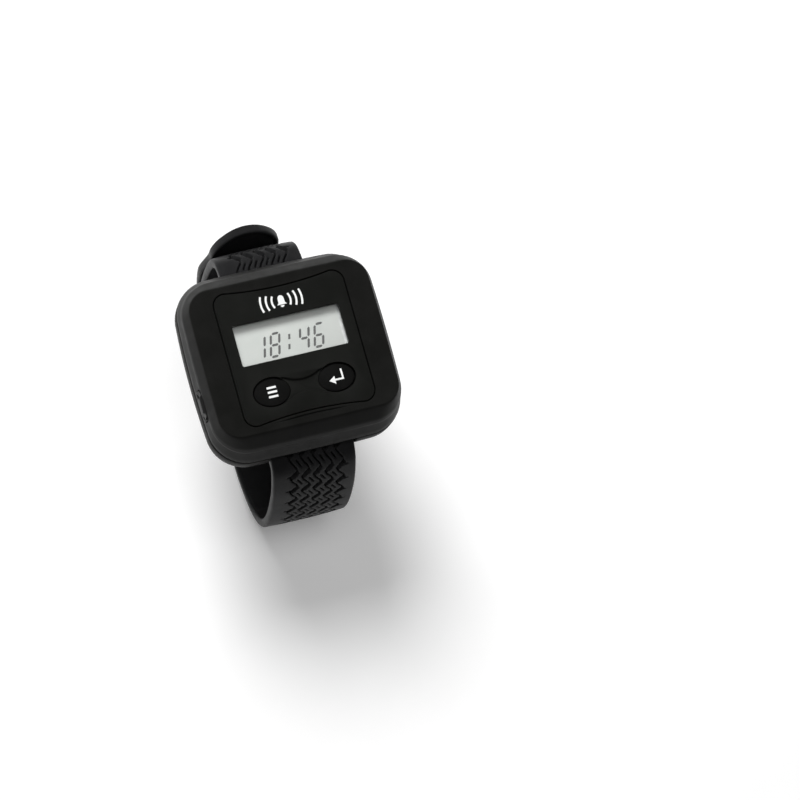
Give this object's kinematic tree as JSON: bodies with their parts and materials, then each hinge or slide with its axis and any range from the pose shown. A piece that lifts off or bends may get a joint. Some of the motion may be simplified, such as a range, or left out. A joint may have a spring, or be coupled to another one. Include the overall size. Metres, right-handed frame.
{
  "type": "wrist pager",
  "caption": "Wrist pager: rounded-square case with a recessed number display and two oval push buttons on a wide treaded rubber strap with a stud closure",
  "frame": {"origin": "centre of the flat skin-side face of the rear shell", "axes": "+Z out of the display, +Y towards the 12 o'clock end of the strap, +X across the strap to the wearer's right as the display reads"},
  "size_m": [0.051, 0.0731, 0.0627],
  "materials": {
    "black_plastic": "fine moulded matte",
    "panel_plastic": "satin moulded",
    "strap_rubber": "matte, tread on the outer face",
    "seal_rubber": "soft matte",
    "clear_lens": "clear",
    "lcd_glass": "reflective grey display",
    "light_guide": "frosted",
    "circuit_board": "solder mask",
    "chip_black": "moulded",
    "bright_steel": "plain",
    "copper_wire": "enamelled winding",
    "battery_foil": "foil pouch",
    "foam": "closed-cell foam",
    "tungsten": "sintered"
  },
  "bodies": {
    "case": {"front_shell": "black_plastic", "rear_shell": "black_plastic", "case_screw_1": "bright_steel", "case_screw_2": "bright_steel", "case_screw_3": "bright_steel", "case_screw_4": "bright_steel", "case_gasket": "seal_rubber", "face_panel": "panel_plastic", "mode_switch": "chip_black", "enter_switch": "chip_black", "display_window": "clear_lens", "lcd_module": "lcd_glass", "light_guide": "light_guide", "lcd_connector": "seal_rubber", "main_board": "circuit_board", "processor_chip": "chip_black", "radio_chip": "chip_black", "crystal_can": "bright_steel", "antenna_coil": "copper_wire", "battery": "battery_foil", "battery_pad": "foam", "vibration_motor": "bright_steel", "buzzer": "chip_black", "charging_socket": "bright_steel", "spring_bar_12": "bright_steel", "spring_bar_6": "bright_steel"},
    "mode_button": {"mode_button": "panel_plastic"},
    "enter_button": {"enter_button": "panel_plastic"},
    "motor_weight": {"motor_weight": "tungsten"},
    "port_plug": {"port_plug": "seal_rubber"},
    "strap_short": {"strap_short": "strap_rubber", "closure_stud": "chip_black"},
    "strap_long": {"strap_long": "strap_rubber"},
    "strap_tail": {"strap_tail": "strap_rubber"}
  },
  "joints": [
    {"name": "mode_press", "type": "slide", "parent": "case", "child": "mode_button", "axis": [0, 0, -1], "range_m": [0, 0.0006], "stiffness_N_per_m": 1500},
    {"name": "enter_press", "type": "slide", "parent": "case", "child": "enter_button", "axis": [0, 0, -1], "range_m": [0, 0.0006], "stiffness_N_per_m": 1500},
    {"name": "motor_spin", "type": "hinge", "parent": "case", "child": "motor_weight", "pos_m": [-0.0009, 0.0124, 0.0043], "axis": [1, 0, 0], "continuous": true},
    {"name": "port_plug_pull", "type": "slide", "parent": "case", "child": "port_plug", "axis": [-1, 0, 0], "range_m": [0, 0.003]},
    {"name": "tail_peel", "type": "hinge", "parent": "strap_long", "child": "strap_tail", "pos_m": [0, 0.0301, -0.0322], "axis": [-1, 0, 0], "range_deg": [0, 95]},
    {"name": "short_strap_swing", "type": "hinge", "parent": "case", "child": "strap_short", "pos_m": [0, 0.0218, 0.0034], "axis": [1, 0, 0], "range_deg": [0, 9.5]},
    {"name": "long_strap_swing", "type": "hinge", "parent": "case", "child": "strap_long", "pos_m": [0, -0.0218, 0.0034], "axis": [-1, 0, 0], "range_deg": [0, 2.85]}
  ],
  "couplings": [
    {"joint": "short_strap_swing", "follows": "tail_peel", "ratio": 0.1},
    {"joint": "long_strap_swing", "follows": "tail_peel", "ratio": 0.03}
  ]
}
